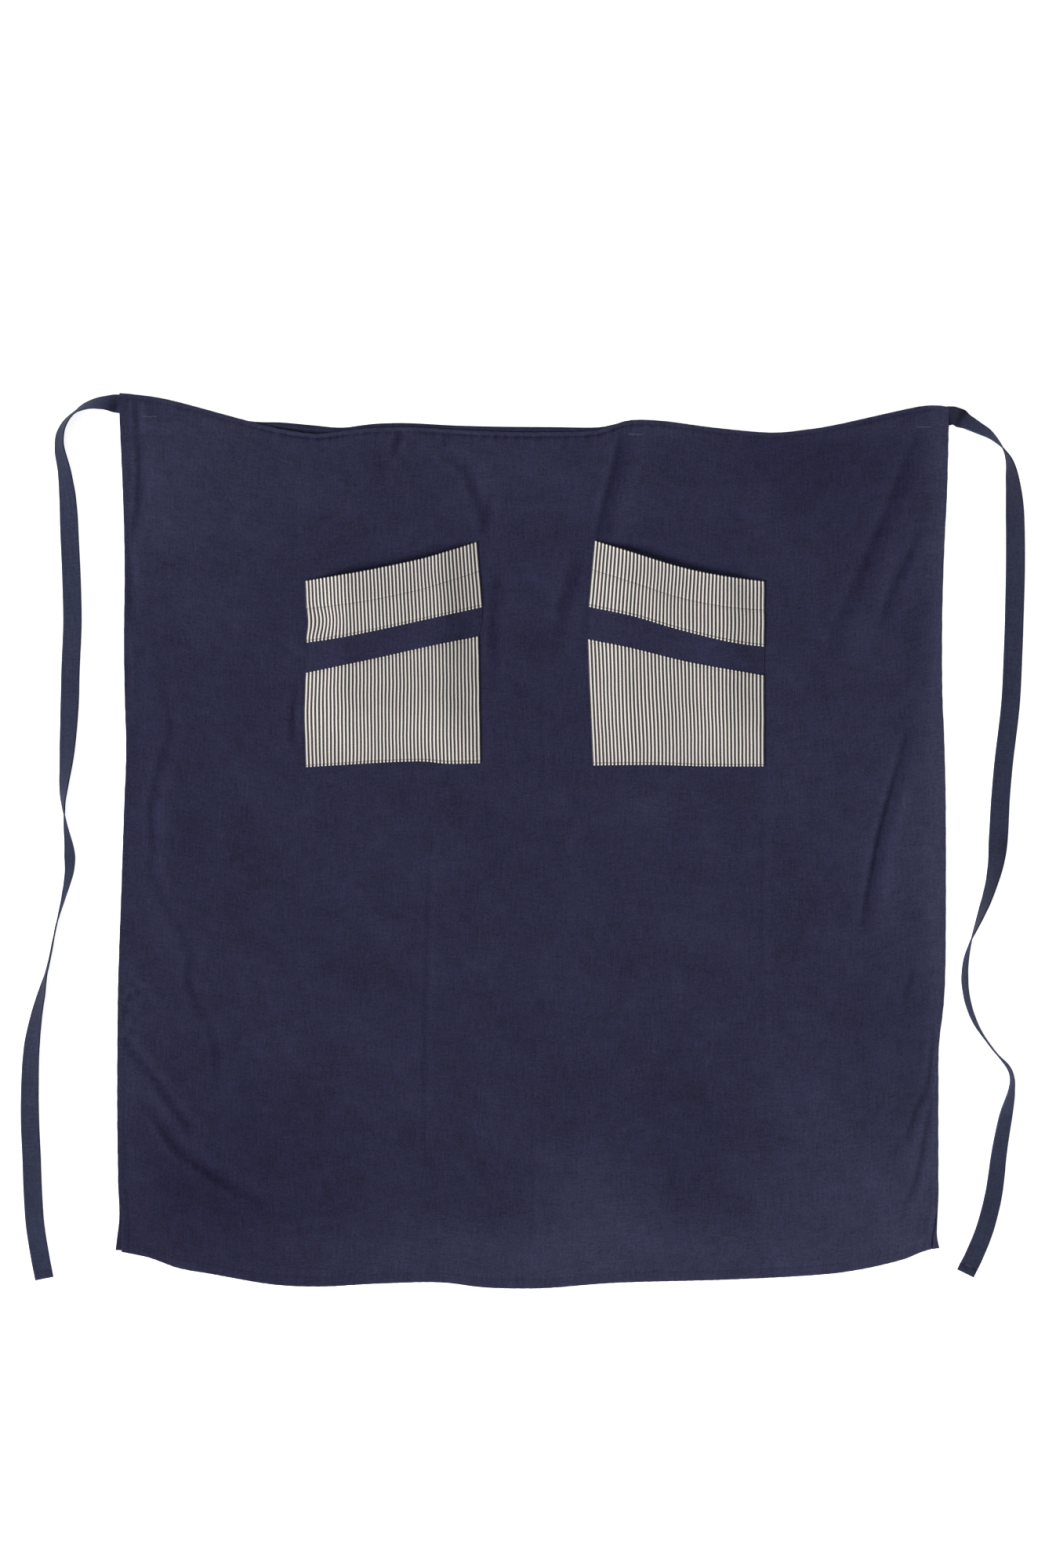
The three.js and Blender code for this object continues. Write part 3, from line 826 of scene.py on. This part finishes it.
def make_edges():
    """The turned cloth inside each edge. It shows at the folds, and the back's shows beyond the front."""
    back_low, back_high, front_low = BACK_TOP + 0.0001, BACK_TOP + 0.0009, BACK_TOP + 0.0011
    high = FRONT_UNDER - 0.00005

    def inner(width):
        return section_points(width, front_low, high, 0.0)

    def shown(width):
        return section_points(width, back_low, back_high, 0.00005)

    room = SIDE_SEAM + 0.0004
    # The back's hems take the second navy and half the lightening, as painted shade.
    for layer, name, edge, inward, section, seed, puff, material in (
            ("front", "waist", front["top"], -1, inner(WAIST_HEM - 0.0006), 21, 0.3, NAVY),
            ("front", "bottom", front["bottom"], 1, inner(BOTTOM_HEM - 0.0006), 22, 0.2, NAVY),
            ("back", "waist", back["top"], -1, shown(WAIST_HEM), 23, 0.5, NAVY_SHADE),
            ("back", "bottom", back["bottom"], 1, shown(BOTTOM_HEM), 24, 0.35, NAVY_SHADE)):
        body = edge_roll(edge, inward, section + (0.0004, 0), room, edge.length - room, seed, puff)
        finish_edge(f"{name}_hem_{layer}", f"{layer}_{name}_hem", body, material)
    vent = 0.0665  # how far up from the bottom corner the sides are open
    tie_room = 0.0225
    # Painted light on the backs' vent hems, most on the right, against the shadow that the front's edge casts
    # on them.
    for side, inward, back_painted_light in (("left", -1, 0.9), ("right", 1, 1.9)):
        edge = front[side]
        section = section_points(SIDE_SEAM, back_low, high, 0.0) + (0.0006, 0)
        body = edge_roll(edge, inward, section, vent + 0.0004, edge.length - tie_room, 31, 0.3)
        finish_edge(f"side_seam_{side}", f"{side}_side_seam", body, NAVY_SHADE)
        body = edge_roll(edge, inward, inner(SIDE_SEAM) + (0.0004, 0), 0.0006, vent, 34, 0.4)
        finish_edge(f"vent_hem_front_{side}", f"{side}_vent_hem_front", body, NAVY)
        body = edge_roll(back[side], inward, shown(SIDE_SEAM), 0.0004, vent, 35, 0.5)
        finish_edge(f"vent_hem_back_{side}", f"{side}_vent_hem_back", body, NAVY, back_painted_light)


def finish_edge(name, node, body, material, faded_and_lit=0.5):
    piece = loft(name, *body, material, lambda x, y: np.minimum(fade_and_light_at(x, y) * faded_and_lit, 0.95))
    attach(piece, BODY)
    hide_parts(node)


# ---------------------------------------------------------------- ties

# Each tie's line at rest in millimetres, the same as the frame's: from the seam to where its end hem starts
TIE_ROUTES = {
    "left": [
        (-456.2, 482.4), (-470, 483.6), (-484, 482.6), (-496, 479), (-507, 472), (-516, 462),
        (-521.5, 449), (-522, 432), (-517, 408), (-513, 375), (-511, 335), (-509, 290), (-508, 240),
        (-510, 190), (-511, 150), (-514, 95), (-518, 52), (-516, 20), (-511.5, -8), (-511, -32),
        (-517, -60), (-526, -95), (-533, -130), (-541, -165), (-548, -195), (-553, -230), (-554.8, -270),
        (-554.8, -310), (-553, -350), (-551.5, -390), (-549, -425), (-543.5, -460), (-540.5, -475.5),
    ],
    "right": [
        (461, 469.2), (468, 468.6), (480, 462.5), (493, 455.5), (504, 449.5), (513, 441.5), (521, 431.5),
        (527, 418), (530, 400), (532.5, 375), (533.5, 340), (533.5, 300), (532.5, 255), (531, 210),
        (528, 150), (521, 90), (517, 45), (515, 8), (512, -25), (504, -58), (494, -86), (484, -112),
        (478.5, -136), (478, -160), (482, -182), (490, -202), (502, -221), (515, -238), (526, -251),
        (530, -264), (528.5, -280), (523, -304), (516, -342), (509.5, -390), (500, -428), (488.5, -457),
        (482, -470.5),
    ],
}
TIE_WIDTH = 0.0208
TONGUE = 0.003  # how far a tie runs back in between the layers
TIE_THICK = 0.0011
TIE_SEAM_Z = (BACK_TOP + FRONT_UNDER) / 2  # where it comes out between the layers
UP = np.array([0, 0, 1.0])

# How a tie turns on its way: distance from the seam in millimetres, and its roll in degrees from lying flat,
# as it looks from the camera
TIE_ROLLS = {
    "left": [
        (0, 0), (4, 4), (14, 38), (25, 52), (33, 66), (41, 75), (51, 88), (58, 85), (65, 80), (73, 74),
        (81, 66), (93, 61), (111, 49), (123, 43), (150, 22), (178, 6), (256, 0), (380, 4), (428, 28),
        (474, 64), (492, 82), (503, 90), (512, 96), (524, 104), (548, 121), (565, 115), (580, 107),
        (604, 96), (622, 90), (650, 88), (682, 86), (690, 80), (705, 66), (732, 49), (759, 29), (798, 14),
        (850, 2), (1030, 0),
    ],
    "right": [
        (0, 0), (5, 30), (10, 33), (14, 0), (18, -27), (31, -44), (45, -59), (56, -75), (68, -88),
        (76, -96), (84, -106), (96, -119), (107, -128), (124, -139), (145, -155), (200, -166), (260, -178),
        (458, -180), (500, -170), (528, -141), (551, -126), (582, -114), (609, -98), (620, -90),
        (632, -82), (648, -74), (665, -70), (691, -73), (712, -78), (734, -87), (759, -89), (774, -82),
        (790, -78), (802, -72), (812, -60), (832, -40), (868, -29), (922, -14), (1030, 0),
    ],
}


def tie_route(side):
    return smoothed(np.array(TIE_ROUTES[side]) * MM, 10)


def tie_tip(side):
    """Where a tie's strip ends, the way it points there and the way across it."""
    line = tie_route(side)
    ahead = unit(line[-1] - line[-2])
    return line[-1], ahead, np.array([-ahead[1], ahead[0]])


class TieLine:
    """A tie's centreline and frame at any distance from the seam."""

    def __init__(self, side):
        line = tie_route(side)
        self.line = np.vstack([line[:1] - unit(line[1] - line[0]) * TONGUE, line])
        self.run = run_along(self.line) - TONGUE
        self.length = self.run[-1]
        distances, rolls = np.array(TIE_ROLLS[side], float).T
        self.roll_run, self.rolls = distances * MM, np.radians(rolls)

    def at(self, along):
        return np.stack([np.interp(along, self.run, self.line[:, k]) for k in (0, 1)], -1)

    def roll(self, along):
        blur = np.linspace(-0.003, 0.003, 5)
        return np.mean([np.interp(along + b, self.roll_run, self.rolls) for b in blur], axis=0)

    def frame(self, along):
        """Its middle, the way across its width and the way through its thickness."""
        near = 0.004
        place, way = self.at(along), unit(self.at(along + near) - self.at(along - near))
        level = np.stack([-way[:, 1], way[:, 0], np.zeros(len(along))], -1)
        aside = place - EYE[:2]
        roll = self.roll(along)
        roll = roll + np.arctan((aside * level[:, :2]).sum(1) / EYE[2]) * np.sin(roll) ** 2
        sine, cosine = np.sin(roll), np.cos(roll)
        rest = np.abs(sine) * TIE_WIDTH / 2 + np.abs(cosine) * TIE_THICK / 2 + 0.0001
        height = np.maximum(rest, TIE_SEAM_Z * (1 - smoothstep(along, 0.0, 0.04)))
        place = place - aside * (height / EYE[2])[:, None]
        wide = level * cosine[:, None] + UP * sine[:, None]
        thin = UP * cosine[:, None] - level * sine[:, None]
        return np.column_stack([place, height]), wide, thin


def ribbon_section(width, thick):
    """A flat tube in section, once round: (place across the width, height)."""
    reach = (width - thick) / 2
    top = [(share * reach, thick / 2) for share in np.linspace(-1, 1, 11)]
    end = [(reach + thick / 2 * math.sin(turn), thick / 2 * math.cos(turn))
           for turn in (math.pi / 4, math.pi / 2, 3 * math.pi / 4)]
    half = np.array(top + end)
    return np.concatenate([half, -half])


def tie_painted_light(centre, thin, more):
    """How much lighter a tie is painted: most where it leans away from the sun, which evens out the shading
    of its turns.
    """
    seen = (thin * (np.array(EYE) - centre)).sum(1, keepdims=True)
    normal = thin * np.sign(seen + 1e-9)
    from_sun = SUN_STRENGTH * np.maximum(normal @ unit(-np.array(SUN_WAY)), 0)
    from_sky, from_table = 1.57, 3.0
    light = from_sun + from_sky * (0.5 + 0.5 * normal[:, 2]) + from_table * (0.5 - 0.5 * normal[:, 2])
    return np.clip(((4.0 / light) ** 0.9 - 0.4) / 1.8 + more, 0, 1)


def make_tie(side):
    tie = TieLine(side)
    count = 420
    along = np.linspace(-TONGUE, tie.length, count + 1)
    centre, wide, thin = tie.frame(along)
    section = ribbon_section(TIE_WIDTH, TIE_THICK)
    across = section[:, 0] / (TIE_WIDTH / 2)
    curl = 0.0006 * perlin(along[None], np.zeros((1, count + 1)), 0.05, 41).T
    ripple = 0.00022 * perlin(*np.meshgrid(along, section[:, 0], indexing="ij"), 0.012, 42)
    seamed = -0.0001 * hump(across, 0.82, 0.06) * np.sign(section[:, 1])
    turned = section[:, 1] * (1 + 0.55 * smoothstep(np.abs(across), 0.6, 0.85))  # its edges are turned in
    lift = turned + curl * (across ** 2 - 0.4) + ripple + seamed
    rings = centre[:, None] + wide[:, None] * section[None, :, 0, None] + thin[:, None] * lift[..., None]
    rings[..., 2] = np.maximum(rings[..., 2], 0.00005)
    uv = np.stack(np.broadcast_arrays(around(section)[None], along[:, None]), -1)
    # Painted light that evens out the tie's shading; set a little lower on the right tie, and lower still
    # near its seam.
    wear_and_painted_light = tie_painted_light(centre, thin, 0.025 if side == "left" else -0.08 - 0.2 * hump(along, 0, 0.06))
    wear_and_painted_light = np.concatenate([np.repeat(wear_and_painted_light, len(section)), wear_and_painted_light[[0, -1]]])
    piece = loft(f"tie_{side}", rings, uv, TIE_CLOTH, lambda x, y: wear_and_painted_light)
    body = f"{side}_tie_string"
    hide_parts(f"{side}_tie")
    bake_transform(piece)
    end_hem = make_tie_end(side, tie, body)
    threads = make_tie_threads(side, tie, body)


def make_tie_end(side, tie, body):
    """The last few millimetres, folded over twice and stitched across."""
    ahead, beside = tie_tip(side)[1:]
    tip = tie.frame(np.array([tie.length]))[0][0, :2]
    section = ribbon_section(TIE_WIDTH - 0.0002, 0.0017)
    # How thick the hem is, as a share, at places along it
    places = np.array([-0.0012, -0.0009, 0.0004, 0.0018, 0.0036, 0.0056, 0.0072, 0.0078, 0.00815, 0.0083])
    sizes = np.array([0.55, 0.85, 0.8, 1.0, 1.04, 1.05, 1.0, 0.85, 0.6, 0.25])
    rings = []
    for place, size in zip(places, sizes):
        level = tip + ahead * (place + 0.0002) + beside * section[:, :1]
        height = np.maximum((section[:, 1] + 0.0009) * size + 0.00005, 0.0)
        rings.append(np.column_stack([level, height]))
    uv = np.stack(np.broadcast_arrays(around(section)[None], tie.length + places[:, None]), -1)
    wear_and_painted_light = 0.33 if side == "left" else 0.25
    piece = loft(f"tie_end_{side}", np.array(rings), uv, TIE_CLOTH, lambda x, y: np.full(len(x), wear_and_painted_light))
    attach(piece, body)
    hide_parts(f"{side}_tie_end_hem")
    return piece


def make_anchor(side):
    """The tie's sewn-in end, between the two layers."""
    low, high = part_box(f"{side}_tie_anchor")
    room = TONGUE + 0.0003
    low.x, high.x = (low.x + room, high.x) if side == "left" else (low.x, high.x - room)
    rows, cols = 9, 13
    x, y = np.meshgrid(np.linspace(low.x, high.x, cols), np.linspace(low.y, high.y, rows))
    top = np.stack([x, y, high.z + 0.00008 * perlin(x, y, 0.006, 44)], -1)
    piece = sheet_shell(f"tie_root_{side}", top, np.stack([y, x], -1), high.z - low.z, TIE_CLOTH,
                        np.full(x.shape, 0.33))
    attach(piece, BODY)
    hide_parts(f"{side}_tie_anchor")


# ---------------------------------------------------------------- thread

def make_stitch_tree():
    """Stitches along the edges of a mesh: a small bead of thread at each step."""
    tree = bpy.data.node_groups.new("stitch_rows", "GeometryNodeTree")
    sockets = {"Rows": "NodeSocketGeometry", "Pitch": "NodeSocketFloat", "Stitch": "NodeSocketFloat",
               "Thread": "NodeSocketFloat", "Material": "NodeSocketMaterial"}
    for label, kind in sockets.items():
        tree.interface.new_socket(label, in_out="INPUT", socket_type=kind)
    tree.interface.new_socket("Stitches", in_out="OUTPUT", socket_type="NodeSocketGeometry")
    nodes = Nodes(tree)
    given = tree.nodes.new("NodeGroupInput").outputs
    curve = nodes.add("GeometryNodeMeshToCurve", {0: given["Rows"]}).outputs[0]
    steps = nodes.add("GeometryNodeCurveToPoints", {"Curve": curve, "Length": given["Pitch"]}, mode="LENGTH")
    bead = nodes.add("GeometryNodeMeshUVSphere", {"Segments": 6, "Rings": 5, "Radius": 1.0}).outputs[0]
    half = nodes.math("MULTIPLY", given["Thread"], 0.5)
    long = nodes.math("MULTIPLY", given["Stitch"], 0.5)
    size = nodes.add("ShaderNodeCombineXYZ", {0: half, 1: half, 2: long}).outputs[0]
    placed = nodes.add("GeometryNodeInstanceOnPoints", {
        "Points": steps.outputs["Points"], "Instance": bead, "Rotation": steps.outputs["Rotation"],
        "Scale": size}).outputs[0]
    real = nodes.add("GeometryNodeRealizeInstances", {0: placed}).outputs[0]
    smooth = nodes.add("GeometryNodeSetShadeSmooth", {0: real}).outputs[0]
    painted = nodes.add("GeometryNodeSetMaterial", {"Geometry": smooth, "Material": given["Material"]})
    nodes.put(tree.nodes.new("NodeGroupOutput").inputs[0], painted.outputs[0])
    return tree


STITCH_TREE = make_stitch_tree()


def stitch_rows(name, lines, material, body, pitch=STITCH_PITCH, stitch=STITCH, thread=THREAD):
    """Rows of stitches that follow lines, as one piece."""
    points, edges = [], []
    for line in lines:
        start = len(points)
        points += [tuple(p) for p in line]
        edges += [(start + k, start + k + 1) for k in range(len(line) - 1)]
    mesh = bpy.data.meshes.new(name)
    mesh.from_pydata(points, edges, [])
    row = add_object(name, mesh)
    modifier = row.modifiers.new("stitches", "NODES")
    modifier.node_group = STITCH_TREE
    values = {"Pitch": pitch, "Stitch": stitch, "Thread": thread, "Material": material}
    for item in STITCH_TREE.interface.items_tree:
        if item.in_out == "INPUT" and item.name in values:
            modifier[item.identifier] = values[item.name]
    row.update_tag()
    bpy.context.view_layer.update()
    made = bpy.data.meshes.new_from_object(row.evaluated_get(bpy.context.evaluated_depsgraph_get()))
    bpy.data.objects.remove(row)
    piece = add_object(name, made)
    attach(piece, body)
    return piece


def make_back_threads():
    rows = []
    for edge, inward, depth in ((back["top"], -1, WAIST_HEM), (back["bottom"], 1, BOTTOM_HEM)):
        start, end = SIDE_SEAM + 0.001, edge.length - SIDE_SEAM - 0.001
        share = np.linspace(start, end, max(2, round((end - start) / 0.004))) / edge.length
        place = edge.at(share) + edge.left(share) * inward * (depth + 0.0001)
        rows.append(np.column_stack([place, np.full(len(share), BACK_TOP + 0.0008)]))
    stitch_rows("back_stitches", rows, THREAD_NAVY, BODY)


def make_tie_threads(side, tie, body):
    margin = TIE_WIDTH / 2 - 0.0018
    centre, wide, thin = tie.frame(np.linspace(0.021, tie.length - 0.002, 300))
    rows = [centre + wide * margin + thin * face * (TIE_THICK / 2 - 0.00004) for face in (1, -1)]
    tip, ahead, beside = tie_tip(side)
    reach = np.linspace(-TIE_WIDTH / 2 + 0.001, TIE_WIDTH / 2 - 0.001, 12)[:, None]
    rows.append(np.column_stack([tip + ahead * 0.0004 + beside * reach, np.full(12, 0.00158)]))
    return stitch_rows(f"tie_stitches_{side}", rows, THREAD_NAVY, body, thread=0.00026)


def surface_height(top, x, y):
    """The height of the nearest point of a grid to each place."""
    flat = top.reshape(-1, 3)
    far = np.hypot(flat[:, 0] - x[:, None], flat[:, 1] - y[:, None])
    closest = np.argpartition(far, 4, axis=1)[:, :4]
    return flat[closest, 2].mean(1)


def make_tacks(cloth):
    """Bars of pale thread below the waist, which hold the layers together: a satin stitch, side by side."""
    for place in ("left", "centre", "right"):
        low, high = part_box(f"waist_tack_{place}")
        middle = (low.y + high.y) / 2
        x = np.linspace(low.x, high.x, 12)
        rows = []
        for k, y in enumerate(np.linspace(low.y + 0.0001, high.y - 0.0001, 5)):
            wander = y + 0.00012 * np.sin(np.arange(12) * 1.7 + k)
            lift = surface_height(cloth, x, wander) + 0.0001 * math.cos((y - middle) * 1600)
            rows.append(np.column_stack([x, wander, lift]))
        piece = stitch_rows(f"tack_{place}", rows, THREAD_PALE, BODY, 0.00085, 0.0014, 0.0003)
        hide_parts(f"waist_tack_{place}")


# ---------------------------------------------------------------- pockets

GAPE = {"left": 0.0070, "right": 0.0046}  # how far a mouth stands off the panel
POCKET_HEM = 0.030
POCKET_BASE = FRONT_TOP + 0.0003
EDGE_STITCH = 0.0021  # how far in from a pocket's edge it is stitched down
SIDE_ROUND = 0.0007  # how far from a side edge the cloth turns down


def hem_depth(across):
    """How far below the mouth its hem is stitched."""
    return POCKET_HEM + 0.0034 * np.sin(math.pi * across)


class Pocket:
    """The rows that a pocket's pieces run between, seen from above."""

    def __init__(self, side):
        upper, lower = sides(f"{side}_pocket_upper"), sides(f"{side}_pocket_lower")
        self.side = side
        self.mouth, self.upper_seam = upper["top"], upper["bottom"]
        self.band_seam, self.bottom = lower["top"], lower["bottom"]
        self.width = self.bottom.length

    def lift(self, across, y):
        """How far the gaping mouth holds the cloth off the panel."""
        top, low = self.mouth.at(across)[..., 1], self.bottom.at(across)[..., 1]
        up = 1 - np.clip((top - y) / (top - low), 0, 1)
        from_side = np.minimum(across, 1 - across)
        return GAPE[self.side] * smoothstep(from_side, 0, 0.25) * smoothstep(up, 0, 0.3)


class Lowered:
    """A row shifted down."""

    def __init__(self, row, distance):
        self.row, self.distance = row, distance

    def at(self, share):
        return self.row.at(share) - (0, self.distance)


# Where a pocket's cloth is pushed aside: place and radii in millimetres, and how far
POCKET_SWAYS = [
    (-232, 243, 22, 13, 2.2), (-236, 221, 24, 9, -1.6), (-252, 143, 26, 42, -2.4), (-150, 180, 45, 26, 0.9),
    (-120, 112, 40, 22, -1.0), (-190, 120, 30, 30, 0.8), (-100, 300, 22, 22, -0.9), (-54, 244, 10, 9, 2.0),
    (98, 150, 25, 40, -0.8), (150, 120, 36, 30, 0.9), (205, 160, 34, 30, -0.8),
    (120, 300, 24, 24, 0.9), (170, 262, 30, 18, -0.8), (228, 240, 14, 20, 0.8),
]


def sway(x, y):
    return 0.00035 * perlin(x, y, 0.022, 52) + patches(x, y, POCKET_SWAYS) * MM


def make_pocket_cloth(pocket, part, high_row, low_row, rows, level, material, folded=True, more=0.0):
    """One sewn piece of a pocket. folded says whether its upper and lower edges are turned under, and more is
    how far it runs past both rows."""
    per_stripe = 6
    across = np.linspace(0, 1, round(pocket.width / STRIPE * per_stripe) + 1)
    u, v = np.meshgrid(across, spaced(0.0, 1.0, [(0, 1.0 / rows)], 0.12 / rows))
    high, low = high_row.at(u) + (0, more), low_row.at(u) - (0, more)
    place = low + (high - low) * v[..., None]
    x, y = place[..., 0], place[..., 1]
    tall = np.linalg.norm(high_row.at(np.array(0.5)) - low_row.at(np.array(0.5))) + 2 * more
    from_low, from_high = v * tall, (1 - v) * tall
    from_side = np.minimum(u, 1 - u) * pocket.width
    height = POCKET_BASE + level + pocket.lift(u, y) + swell(x, y)
    waves = 0.0007 * perlin(x, y, 0.045, 51) + 0.0003 * perlin(x, y, 0.018, 53)
    height = height + (waves + 0.0003) * smoothstep(from_side, 0, 0.012)
    if folded:
        stripe = -np.cos(2 * math.pi * u * pocket.width / STRIPE)  # 1 on the pale stripes
        for edge, way in ((from_high, 1), (from_low, -1)):
            # puffed between the stitching and the fold, and rounded off at the fold
            height = height + 0.0004 * hump(edge, 0.0008, 0.0008) * (1 + 0.45 * stripe)
            height = height - 0.0003 * hump(edge, 0.0022, 0.0007)
            height = height - 0.0009 * (1 - np.clip(edge / 0.0006, 0, 1)) ** 2
            y = y + way * 0.0006 * (0.5 + 0.5 * stripe) * np.exp(-edge / 0.0012)
    if part == "upper":
        # the mouth is a rolled fold, and a furrow marks where its hem ends
        height = height + 0.0004 * hump(from_high, 0.002, 0.002)
        height = height - 0.00045 * hump(from_high, hem_depth(u), 0.0011)
    # the side edges are turned in and stitched down
    height = height - 0.0009 * (1 - np.clip(from_side / SIDE_ROUND, 0, 1)) ** 2
    height = height - 0.0003 * hump(from_side, EDGE_STITCH, 0.0008)
    top = np.stack([x + sway(x, y), y, height], -1)
    uv = np.stack([u * pocket.width + STRIPE * 0.5, y], -1)
    fade_and_light = np.full(u.shape, 0.36) if material is NAVY else None
    piece = sheet_shell(f"pocket_{part}_{pocket.side}", top, uv, CLOTH, material, fade_and_light)
    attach(piece, BODY)
    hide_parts(f"{pocket.side}_pocket_{part}")
    span = (high_row.at(across) - low_row.at(across))[:, 1] + 2 * more
    return top, across, v[:, 0], tall


def make_pocket(side):
    pocket = Pocket(side)
    band_level, cloth_level = 0.0003, 0.0010
    hem_top, hem_end = Lowered(pocket.mouth, 0.0006), Lowered(pocket.mouth, POCKET_HEM)
    make_pocket_cloth(pocket, "mouth_hem", hem_top, hem_end, 10, 0.0001, STRIPED, folded=False)
    upper = make_pocket_cloth(pocket, "upper", pocket.mouth, pocket.upper_seam, 40, cloth_level, STRIPED)
    band = make_pocket_cloth(pocket, "band", pocket.upper_seam, pocket.band_seam, 12, band_level, NAVY,
                             folded=False, more=0.003)
    lower = make_pocket_cloth(pocket, "lower", pocket.band_seam, pocket.bottom, 44, cloth_level, STRIPED)
    top, u, v, tall = upper
    hem_row = row_at(top, v, 1 - hem_depth(u) / tall)[2:-2]
    pitch = 0.0026
    stitch_rows(f"pocket_hem_stitches_{side}", [hem_row], THREAD_DARK, BODY, pitch, 0.0024, 0.00038)
    rows, edges = [], []
    for cloth, distances in ((upper, (EDGE_STITCH,)), (lower, (EDGE_STITCH, lower[3] - EDGE_STITCH))):
        rows += [row_at(cloth[0], cloth[2], distance / cloth[3])[2:-2] for distance in distances]
    stitch_rows(f"pocket_rows_{side}", rows, THREAD_NAVY, BODY, pitch, 0.0022, 0.0003)
    inner = SIDE_ROUND / pocket.width
    for cloth in (upper, band, lower):
        edges += [column_at(cloth[0], cloth[1], share, 0)[3:-3] for share in (inner, 1 - inner)]
    stitch_rows(f"pocket_edges_{side}", edges, THREAD_NAVY, BODY, pitch, 0.0020, 0.00026)


# ---------------------------------------------------------------- the whole apron

make_camera()
for tie_side in ("left", "right"):
    make_tie(tie_side)
    make_anchor(tie_side)
make_back()
front_surface = make_front()
make_edges()
make_back_threads()
make_tacks(front_surface)
for pocket_side in ("left", "right"):
    make_pocket(pocket_side)
make_floor(FLOOR)
make_lights()
